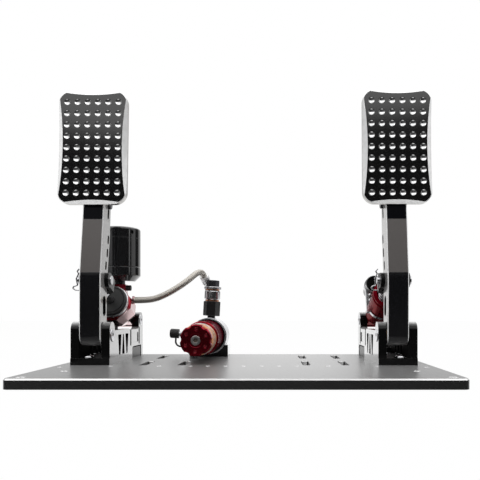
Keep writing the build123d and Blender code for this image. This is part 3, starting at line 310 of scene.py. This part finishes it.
softbox("front_softbox", 0, 42, 1.7, 2.4, 0.95, 2.2)
softbox("left_softbox", -75, 25, 1.6, 0.7, 1.2, 2.4)
softbox("right_softbox", 75, 25, 1.6, 0.7, 1.2, 0.8)
softbox("top_softbox", 0, 88, 1.5, 1.4, 1.0, 1.0)
print("softboxes: front, left, right and top")

# %% [markdown]
# ### Floor
#
# The set stands on white paper that melts into the white background, with only a faint shadow.
# A plane that mostly glows by itself does that: the glow hides its edge, and the small matt share
# keeps the shadow. In a mirror it is white behind the set and dim in front of it.

# %% Floor
floor_drop = 0.0004
glow_share = 0.98
bpy.ops.mesh.primitive_plane_add(size=8.0, location=(0, 0, -floor_drop))
floor = bpy.context.object
floor.name = "white_floor"
paper = bpy.data.materials.new("white_paper")
start_tree(paper)
tree.nodes.clear()
lit = node("ShaderNodeBsdfDiffuse", Color=(0.9, 0.9, 0.9, 1))
glow = node("ShaderNodeEmission", Color=(1, 1, 1, 1))
heading = axes(node("ShaderNodeNewGeometry").outputs["Incoming"])
steep = ramp(heading["Z"], 0.62, 0.85, 0.03, 0.8)
behind = ramp(heading["Y"], -0.35, -0.15, 1.0, 0.0)
rays = node("ShaderNodeLightPath").outputs
join(blend(1.0, maths("MAXIMUM", steep, behind), rays["Is Glossy Ray"]), glow.inputs["Strength"])
share = 0.0
for kind in ("Is Camera Ray", "Is Transmission Ray", "Is Glossy Ray"):
    share = blend(share, glow_share, rays[kind])
mix = node("ShaderNodeMixShader")
for socket, value in zip(mix.inputs, (share, lit.outputs[0], glow.outputs[0])):
    join(value, socket)
join(mix.outputs[0], node("ShaderNodeOutputMaterial").inputs["Surface"])
floor.data.materials.append(paper)
print("floor", floor.dimensions[:2])

# %% [markdown]
# ## Finishes
#
# Nearly everything here is aluminium or steel, and what tells the pieces apart is the finish:
# bead-blasted black anodising, glossy red anodising, bare turned metal, polished steel. Each
# finish is one material with its own grain at its own scale. Object coordinates are used
# throughout, because every piece keeps its place in its mesh.

# %% Helpers that every finish uses
noise_limits = (0.3, 0.7)


def shader_of(finish):
    """The one shader that a finish is made with."""
    return finish.node_tree.nodes["Principled BSDF"]


def new_finish(name, colour, metallic, roughness, **fixed):
    """Material whose shader has these constant values; returns it, its shader and the position."""
    finish = bpy.data.materials.new(name)
    start_tree(finish)
    shader = shader_of(finish)
    shader.inputs["Base Color"].default_value = (*colour, 1)
    shader.inputs["Metallic"].default_value = metallic
    shader.inputs["Roughness"].default_value = roughness
    for socket, value in fixed.items():
        shader.inputs[socket.replace("_", " ")].default_value = value
    finish.diffuse_color = (*colour, 1)
    return finish, shader, node("ShaderNodeTexCoord").outputs["Object"]


def grain(place, size, detail=3.0):
    """Noise whose blotches are about size metres across."""
    noise = node("ShaderNodeTexNoise", Scale=1.0 / size, Detail=detail, Roughness=0.55)
    join(place, noise.inputs["Vector"])
    return noise.outputs["Fac"]


def spread(value, low, high):
    """Noise between its usual limits mapped to low and high."""
    return mapped(value, *noise_limits, low, high)


def bump(shader, height, distance, strength):
    """Surface relief from a height, distance metres deep."""
    made = node("ShaderNodeBump", Distance=distance, Strength=strength)
    join(height, made.inputs["Height"])
    join(made.outputs[0], shader.inputs["Normal"])


def tint(shader, share, first, second):
    """Base colour between two tones."""
    join(blend_colours(first, second, share), shader.inputs["Base Color"])


# %% [markdown]
# ### Black anodising
#
# Anodised aluminium is blasted first, so it has a fine even grain that a fingertip just feels. Seen
# from straight in front it is black with a dark shine, and seen at a flat angle the clear oxide
# mirrors the room and the same piece looks like bare silver, so the metal grows with the angle.
# The sloped fronts of the two arms are rougher and get a painted sheen, a warm grey in their
# colour.

# %% Black finishes
blast_grain = 0.0005
blast_depth = 0.00001
# heights where the lighter slope starts and ends, and where the arm ends
slope_foot, slope_head, arm_end = 0.1165, 0.179, 0.3
slope_edge = 0.0006


def flat_angle(start, fall):
    """Share that is zero seen from in front and grows to one at a flat angle."""
    facing = node("ShaderNodeLayerWeight", Blend=0.5).outputs["Facing"]
    return maths("POWER", mapped(facing, start, 1.0), fall)


def black_anodised(name, tone, gloss, fall, silver, ior=2.0, depth=blast_depth):
    """Blasted and anodised black, whose shine rises to silver at a flat angle."""
    finish, shader, place = new_finish(name, (tone,) * 3, 0.0, gloss, IOR=ior)
    flat = flat_angle(0.15, fall)
    join(flat, shader.inputs["Metallic"])
    fine = grain(place, blast_grain, 2.0)
    join(spread(fine, gloss * 0.9, gloss * 1.12), shader.inputs["Roughness"])
    tint(shader, flat, (tone,) * 3, (silver,) * 3)
    bump(shader, fine, depth, 0.3)
    return finish


def arm_anodised():
    """Polished black arm with a rougher sloped front whose warm grey is a painted sheen, and a top
    that mirrors less as painted shade.
    """
    gloss, satin = 0.14, 0.42
    finish, shader, place = new_finish("arm_anodising", (0.002,) * 3, 0.0, gloss, IOR=2.0)
    flat = flat_angle(0.15, 1.4)
    join(flat, shader.inputs["Metallic"])
    height = axes(place)["Z"]
    normal = axes(node("ShaderNodeTexCoord").outputs["Normal"])
    sloping = maths("MULTIPLY", ramp(normal["Z"], 0.02, 0.05),
                    ramp(normal["Y"], -0.9, -0.8, 1.0, 0.0))
    # the sloped front: rougher, with a painted sheen in its colour
    sheen_band = maths("MULTIPLY", band(height, slope_foot, slope_head, slope_edge), sloping)
    # painted shade: the arm's top above the slope, under the face, mirrors less through a lower IOR
    above = band(height, slope_head, arm_end, slope_edge)
    join(blend(gloss, satin, sheen_band), shader.inputs["Roughness"])
    join(blend(blend(2.0, 1.15, above), 1.95, sheen_band), shader.inputs["IOR"])
    # painted sheen: warm grey base colour on the sloped front
    shade = blend_colours((0.002, 0.002, 0.003), (0.045, 0.038, 0.035), sheen_band)
    tint(shader, flat, shade, (0.98, 0.97, 0.96))
    bump(shader, grain(place, blast_grain, 2.0), blast_depth, 0.3)
    return finish


finishes = {
    "black_plate": black_anodised("plate_anodising", 0.01, 0.3, 9.0, 0.85),
    "black_billet": black_anodised("billet_anodising", 0.003, 0.12, 1.1, 1.0, 1.35),
    "black_arm": arm_anodised(),
    "black_face": black_anodised("face_anodising", 0.003, 0.09, 1.2, 0.9, depth=0.00002),
    "oxide_black": black_anodised("oxide_black", 0.008, 0.3, 5.0, 0.2, 1.45),
    "deep_black": black_anodised("deep_black", 0.003, 0.12, 1.6, 0.9, 1.22),
    "fork_black": black_anodised("fork_black", 0.003, 0.3, 3.0, 0.35, 1.25),
    # painted shade for the faces inside the bracket channels
    "painted_channel_shade": black_anodised("painted_channel_shade", 0.002, 0.5, 9.0, 0.1, 1.08),
}
print("black finishes:", len(finishes))

# %% [markdown]
# ### Red anodising
#
# The hydraulic pieces are dyed deep red over polished metal. Light goes through the dye, comes
# back off the metal and leaves a clear glossy skin on top, so this is a red metal with a coat.
# The master cylinder is the brightest of them. The damper and the slave's barrel are darker and
# have hardly any skin, so they are less of a metal and mirror less white.


# %% Red finishes
def red_anodised(name, shine, edge, dye=(0.3, 0.003, 0.016), metallic=1.0, coat=0.4, ior=1.5):
    """Dyed red metal under a clear glossy oxide; shine is its share of white at a flat angle."""
    finish, shader, place = new_finish(name, dye, metallic, 0.2, Coat_Weight=coat,
                                       Coat_Roughness=0.06, IOR=ior)
    shader.inputs["Specular Tint"].default_value = (*edge, 1)
    cloud = grain(place, 0.012, 4.0)
    join(spread(cloud, 0.17, 0.23), shader.inputs["Roughness"])
    tint(shader, maths("MULTIPLY", flat_angle(0.2, 1.0), shine), dye, (1.0, 0.9, 0.9))
    return finish


reds = {
    "red_anodised": red_anodised("red_anodising", 0.0, (0.5, 0.1, 0.15)),
    "polished_red": red_anodised("polished_red_anodising", 1.25, (1.0, 0.9, 0.9)),
    "damper_red": red_anodised("damper_red_anodising", 0.0, (0.3, 0.03, 0.06),
                               (0.27, 0.003, 0.014), metallic=0.6, coat=0.05, ior=1.25),
    "barrel_red": red_anodised("barrel_red_anodising", 0.0, (0.12, 0.01, 0.03),
                               (0.13, 0.003, 0.012), metallic=0.55, coat=0.0, ior=1.0),
}
finishes.update(reds)
print("red finishes:", len(reds))

# %% [markdown]
# ### Bare metals
#
# Turned and milled pieces carry the cutter's fine lines, polished steel only a haze of small
# scratches. One helper makes them all: a metal with its own colour, gloss and direction of grain.
# Milled rims mirror the white room from so many angles that a full metal would flicker between
# white and black, so theirs is a metal only in part. The socket of the tie rod's screw gets a
# painted shade, a dark brown that is a metal only in part too.

# %% Metal finishes
line_width = 0.0004
line_depth = 0.00001


def metal(name, colour, gloss, line=(1, 1, 1)):
    """Bare metal with a fine grain that is pressed together along one direction."""
    finish, shader, place = new_finish(name, colour, 1.0, gloss)
    stretch = node("ShaderNodeMapping", Scale=line)
    join(place, stretch.inputs["Vector"])
    lines = grain(stretch.outputs[0], line_width)
    join(spread(lines, gloss * 0.75, gloss * 1.3), shader.inputs["Roughness"])
    shade = tuple(part * 0.86 for part in colour)
    tint(shader, spread(grain(place, 0.008), 0.0, 1.0), shade, colour)
    bump(shader, lines, line_depth, 0.4)
    return finish


metals = {
    "satin_silver": metal("turned_aluminium", (0.82, 0.82, 0.84), 0.26, (1, 6, 1)),
    "bright_steel": metal("polished_steel", (0.74, 0.74, 0.76), 0.14),
    "dark_steel": metal("blackened_steel", (0.10, 0.10, 0.11), 0.28),
    "bronze": metal("bush_bronze", (0.55, 0.38, 0.20), 0.3),
    "copper": metal("washer_copper", (0.80, 0.42, 0.26), 0.25),
    "pink_union": metal("rose_aluminium", (0.80, 0.50, 0.52), 0.2),
    "bare_aluminium": metal("milled_aluminium", (0.97, 0.97, 0.97), 0.17, (8, 1, 1)),
    "dimple_chrome": metal("dimple_chrome", (0.99, 0.99, 0.99), 0.07),
    "screw_red": metal("screw_red", (0.75, 0.1, 0.13), 0.2),
    "wall_aluminium": metal("wall_aluminium", (0.62, 0.61, 0.59), 0.3),
    # painted shade for the inside of the tie rod's hexagon socket
    "painted_socket_shade": metal("painted_socket_shade", (0.13, 0.1, 0.08), 0.5),
}
finishes.update(metals)
for name, metallic in (("bare_aluminium", 0.4), ("painted_socket_shade", 0.2)):
    shader_of(finishes[name]).inputs["Metallic"].default_value = metallic
print("metal finishes:", len(metals))

# %% [markdown]
# ### Plastics, rubber and the elastomers
#
# The fluid reservoir is moulded and polished, the caps are soft matt rubber, and the three orange
# blocks in the slave cylinder are cast polyurethane, which lets a little light in.


# %% Plastic and rubber finishes
def moulded(name, colour, gloss, coat=0.0, soft=0.0, depth=0.00002):
    """Moulded plastic or rubber with a fine skin."""
    finish, shader, place = new_finish(name, colour, 0.0, gloss, Coat_Weight=coat,
                                       Coat_Roughness=0.05, Subsurface_Weight=soft,
                                       Subsurface_Scale=0.004,
                                       Subsurface_Radius=(1.0, 0.4, 0.2))
    join(spread(grain(place, 0.01, 4.0), gloss * 0.8, gloss * 1.25), shader.inputs["Roughness"])
    shade = tuple(part * 0.85 for part in colour)
    tint(shader, spread(grain(place, 0.006), 0.0, 1.0), shade, colour)
    bump(shader, grain(place, 0.0007, 2.0), depth, 0.3)
    return finish


plastics = {
    "gloss_black": moulded("polished_black_plastic", (0.010, 0.010, 0.011), 0.12, coat=1.0),
    "black_rubber": moulded("matt_rubber", (0.018, 0.018, 0.018), 0.55, depth=0.00005),
    "orange_elastomer": moulded("cast_polyurethane", (1.0, 0.5, 0.27), 0.4, soft=0.15),
}
finishes.update(plastics)
shader_of(finishes["orange_elastomer"]).inputs["Specular IOR Level"].default_value = 0.15
print("plastic and rubber finishes:", len(plastics))

# %% [markdown]
# ### Steel braid
#
# Two sets of wires run round the hose in opposite helices. The curve's own map runs along and
# round the hose, so two slanted sets of waves on it make the plait, and a clear coat covers it.

# %% Braid finish
wires_each_way = 24
# heights of the waves that count as the gap between wires and as the top of a wire
gap_level, wire_level = -0.6, 1.0


def steel_braid(length, radius):
    """Plaited wires from two crossing waves on the hose's own map."""
    finish, shader, _ = new_finish("braided_steel", (0.62, 0.59, 0.54), 1.0, 0.42,
                                   Coat_Weight=0.4, Coat_Roughness=0.06)
    on_hose = axes(node("ShaderNodeUVMap").outputs[0])
    phase = wires_each_way * 2 * pi
    turns = length / (2 * pi * radius)

    def helix(sign):
        """Wave across one set of wires."""
        along = maths("MULTIPLY", on_hose["X"], sign * turns * phase)
        return maths("SINE", maths("ADD", maths("MULTIPLY", on_hose["Y"], phase), along))

    level = mapped(maths("MAXIMUM", helix(1.0), helix(-1.0)), gap_level, wire_level)
    tint(shader, level, (0.20, 0.18, 0.15), (0.78, 0.74, 0.68))
    bump(shader, level, 0.0002, 0.6)
    return finish


finishes["steel_braid"] = steel_braid(hose_length, hose_diameter / 2)
brake_hose.data.materials.append(finishes["steel_braid"])
print("finishes in all:", len(finishes))

# %% [markdown]
# ## Dressing the solids
#
# A solid arrives as loose flat triangles. Its copy has them joined, coplanar ones merged back into
# plane faces, and a fine bevel on every sharp edge, because it is the bevel that catches the light
# on a machined part. Curved walls are shaded smooth and edges over 32 degrees stay crisp. Most
# pieces ride one body. The spring and the stack of cushions are pressed together between two, so
# they ride none and keep the place they have in the frame.

# %% Copy a solid and soften its edges
weld_distance = 0.000002
plane_angle = radians(0.4)
crisp_angle = radians(32.0)
clevis = Vector((0.1765, 0.0, 0.1086))
trunnion = Vector((0.1765, 0.126, 0.060))
damper_line = (trunnion - clevis).normalized()
spring_ends = (0.0281, 0.0784)
stack = ("base", "slave_plunger", (-0.0555, -0.010, 0.0384), (-0.0555, 0.0285, 0.0384))
# pieces that get shorter: the body at each end, and the two ends of the stretch
squeezed = {
    "return_spring": ("damper_shaft", "damper", *(clevis + damper_line * end
                                                  for end in spring_ends)),
    "slave_elastomers": stack,
    "slave_washers": stack,
}
# pieces whose finish isn't simply the one of their slot
own_finish = {
    "master_body": "polished_red", "slave_barrel": "barrel_red", "damper_body": "damper_red",
    "port_adapter": "oxide_black", "brake_rear_block": "oxide_black",
    "throttle_rear_block": "oxide_black", "brake_fork": "fork_black",
    "throttle_fork": "fork_black", "damper_reservoir": "deep_black",
    "hose_ferrule": "bare_aluminium", "slave_cap_screws": "screw_red",
    "slave_tie_rod": "wall_aluminium",
}


def dressed(name, edge):
    """Joined, bevelled copy of a solid that takes its place."""
    mesh = nodes[name].data.copy()
    mesh.name = name + "_dressed"
    work = bmesh.new()
    work.from_mesh(mesh)
    bmesh.ops.remove_doubles(work, verts=work.verts, dist=weld_distance)
    bmesh.ops.dissolve_limit(work, angle_limit=plane_angle, verts=work.verts, edges=work.edges,
                             use_dissolve_boundaries=False)
    work.to_mesh(mesh)
    work.free()
    mesh.materials.clear()
    mesh.materials.append(finishes[own_finish.get(name, slot_of_node[name])])
    mesh.shade_smooth()
    mesh.set_sharp_from_angle(angle=crisp_angle)
    piece = bpy.data.objects.new(name + "_dressed", mesh)
    bpy.context.scene.collection.objects.link(piece)
    if edge:
        soften = piece.modifiers.new("soft_edges", "BEVEL")
        soften.width = edge
        soften.segments = 2
        soften.limit_method = "ANGLE"
        soften.angle_limit = crisp_angle
        soften.use_clamp_overlap = True
    settle = piece.modifiers.new("flat_normals", "WEIGHTED_NORMAL")
    settle.weight = 90
    settle.keep_sharp = True
    if name in squeezed:
        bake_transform(piece)
    else:
        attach(piece, body_of_node[name])
    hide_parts(name)
    return piece


print("pieces that get shorter:", ", ".join(squeezed))

# %% [markdown]
# ### Pedal faces
#
# A face is anodised first and machined after it, so that all the cuts are bare: the hollow bevels
# round its rim, the dimples and the outer walls, while the flat field stays black. The cuts are
# faces of the solid already, and giving those faces another finish keeps every border exact,
# where a painted picture would blur it.

# %% Pedal faces: black field, bare bevels and dimples
# half width and half height of the field of dimples, to their outer edges
dimple_field = (0.0336, 0.0575)
cut_depth = 0.00002
wall_tilt = 0.2
# where the first finish that is painted on a piece stands in its list
first_paint = 1


def paint_faces(piece, finish, wanted):
    """Give the faces that pass a test another finish."""
    piece.data.materials.append(finishes[finish])
    index = len(piece.data.materials) - 1
    passed = [face for face in piece.data.polygons if wanted(face)]
    for face in passed:
        face.material_index = index
    return len(passed)


def crisp(piece):
    """Keep the line sharp wherever two finishes of one piece meet."""
    mesh = piece.data
    finish_at = {}
    for face in mesh.polygons:
        for key in face.edge_keys:
            finish_at.setdefault(key, set()).add(face.material_index)
    sharp = mesh.attributes["sharp_edge"].data
    for edge in mesh.edges:
        if len(finish_at.get(edge.key, ())) > 1:
            sharp[edge.index].value = True


def middle_of(piece):
    """Middle of a piece's box."""
    corners = [Vector(corner) for corner in piece.bound_box]
    return sum(corners, Vector()) / len(corners)


def paint_pedal_face(plate):
    """Bare metal on every cut of a pedal's face; returns how many faces that is."""
    centre = middle_of(plate)
    field = max(plate.data.polygons, key=lambda face: face.area * (face.normal.y < -0.9))
    on_field = field.center.copy()
    forward = field.normal.copy()

    def by_dimples(face):
        """Within the field of dimples."""
        return (abs(face.center.x - centre.x) < dimple_field[0]
                and abs(face.center.z - centre.z) < dimple_field[1])

    def is_cut(face):
        """Below the black field, and turned forward."""
        deep = (face.center - on_field).dot(forward) < -cut_depth
        return deep and face.normal.dot(forward) > wall_tilt

    def is_dimple(face):
        """A cut in the field of dimples."""
        return face.material_index == first_paint and by_dimples(face)

    def is_wall(face):
        """An outer wall."""
        return abs(face.normal.dot(forward)) <= wall_tilt and not by_dimples(face)

    return (paint_faces(plate, "bare_aluminium", is_cut)
            + paint_faces(plate, "dimple_chrome", is_dimple)
            + paint_faces(plate, "wall_aluminium", is_wall))


for side in ("brake", "throttle"):
    plate = dressed(side + "_face", edge=0.00025)
    print(side, "face, bare metal on", paint_pedal_face(plate), "faces")
    crisp(plate)

# %% [markdown]
# ### Pedal arms
#
# The arms were chamfered after anodising, which left a bright line along both sides and round
# each slot. The chamfers are the faces that look half sideways.

# %% Pedal arms: bright milled edges
chamfer_tilt = (0.3, 0.95)


def is_milled_edge(face):
    """Chamfers between an arm's sides and its front and back."""
    return chamfer_tilt[0] < abs(face.normal.x) < chamfer_tilt[1]


for side in ("brake", "throttle"):
    limb = dressed(side + "_arm", edge=0.0)
    print(side, "arm, bare edges", paint_faces(limb, "bare_aluminium", is_milled_edge))
    crisp(limb)

# %% [markdown]
# ### Base plate
#
# The plate's rim was milled and its round holes drilled through the finished black, so both are
# bright. The slots were cut before anodising and stay black, so the record's own list of openings
# serves to tell them apart from the holes.

# %% Base plate: bright milled rim and drilled holes
slot_boxes = [box["box_m"] for box in frame["record"]["physics"]["openings"]
              if box["name"].startswith("slot_")]
slot_margin = (0.004, 0.002)
# half width and half depth of the plate inside its own outer walls
inside_walls = (0.212, 0.146)


def in_slot(place):
    """Whether a point lies in or at the edge of a slot."""
    return any(all(low[axis] - slot_margin[axis] < place[axis] < high[axis] + slot_margin[axis]
                   for axis in (0, 1)) for low, high in slot_boxes)


def is_bare_plate(face):
    """The chamfer round the plate's top, and the walls of its round holes."""
    if in_slot(face.center):
        return False
    hole = (abs(face.normal.z) < 0.1 and abs(face.center.x) < inside_walls[0]
            and abs(face.center.y) < inside_walls[1])
    return hole or chamfer_tilt[0] < face.normal.z < chamfer_tilt[1]


floor_plate = dressed("base_plate", edge=0.0002)
print("plate, bare faces", paint_faces(floor_plate, "bare_aluminium", is_bare_plate))
crisp(floor_plate)

# %% [markdown]
# ### The other pieces
#
# Everything else takes the finish of its slot. Only the width of the softened edge differs: a
# moulded cap is rounder than a milled block, and thin wire has no edge to soften.

# %% The other pieces
usual_edge = 0.00025
soft_edges = {"reservoir_cap": 0.0006, "reservoir_tank": 0.0004, "master_body": 0.0006,
              "mount_bolts": 0.0003, "slave_elastomers": 0.0006, "brake_bracket": 0.0005,
              "throttle_bracket": 0.0005, "return_spring": 0.0, "bleed_cap": 0.0,
              "brake_pin_clip": 0.0, "throttle_pin_clip": 0.0, "banjo_fitting": 0.0}
done = {"brake_hose", "base_plate", "brake_face", "throttle_face", "brake_arm", "throttle_arm"}
other = {name: dressed(name, edge=soft_edges.get(name, usual_edge))
         for name in sorted(nodes) if name not in done}
print("dressed", len(other), "more pieces")

# %% [markdown]
# ### Brackets
#
# Each bracket is a channel, and little light gets in between its cheeks. The faces of the channel
# get a painted shade, a rough black that mirrors nothing.

# %% Brackets: painted shade on the channel between the cheeks
channel_half_width = 0.0135
channel_floor = 0.0175
for side in ("brake", "throttle"):
    bracket = other[side + "_bracket"]
    centre = middle_of(bracket)
    # painted shade on the faces between the cheeks
    shadowed = paint_faces(bracket, "painted_channel_shade", lambda face: (
        abs(face.center.x - centre.x) < channel_half_width and face.center.z > channel_floor))
    crisp(bracket)
    print(side, "bracket, dull faces in the channel", shadowed)

# %% [markdown]
# ### Two small details
#
# The union's black bolt has a bright turned collar, and the inside of the tie rod's hexagon socket
# gets a painted shade. Both are found by how far their faces lie from the axis of the screw, and
# the socket also by how deep they lie in the head.

# %% Union bolt's bright collar and the painted shade in the tie rod's socket
collar_reach = 0.0104
socket_reach = 0.0042
head_front = 0.0012
socket_depth = (0.0006, 0.008)
bolt = other["banjo_bolt"]
centre = middle_of(bolt)
collar = paint_faces(bolt, "satin_silver", lambda face: (
    (face.center - centre).xy.length > collar_reach))
rod_head = other["slave_tie_rod"]
front = min(corner[1] for corner in rod_head.bound_box)
head_at = [face.center for face in rod_head.data.polygons if face.center.y < front + head_front]
centre = sum(head_at, Vector()) / len(head_at)
# painted shade inside the tie rod's hexagon socket
socket = paint_faces(rod_head, "painted_socket_shade", lambda face: (
    socket_depth[0] < face.center.y - front < socket_depth[1]
    and (face.center - centre).xz.length < socket_reach))
print("collar faces", collar, "socket faces", socket)
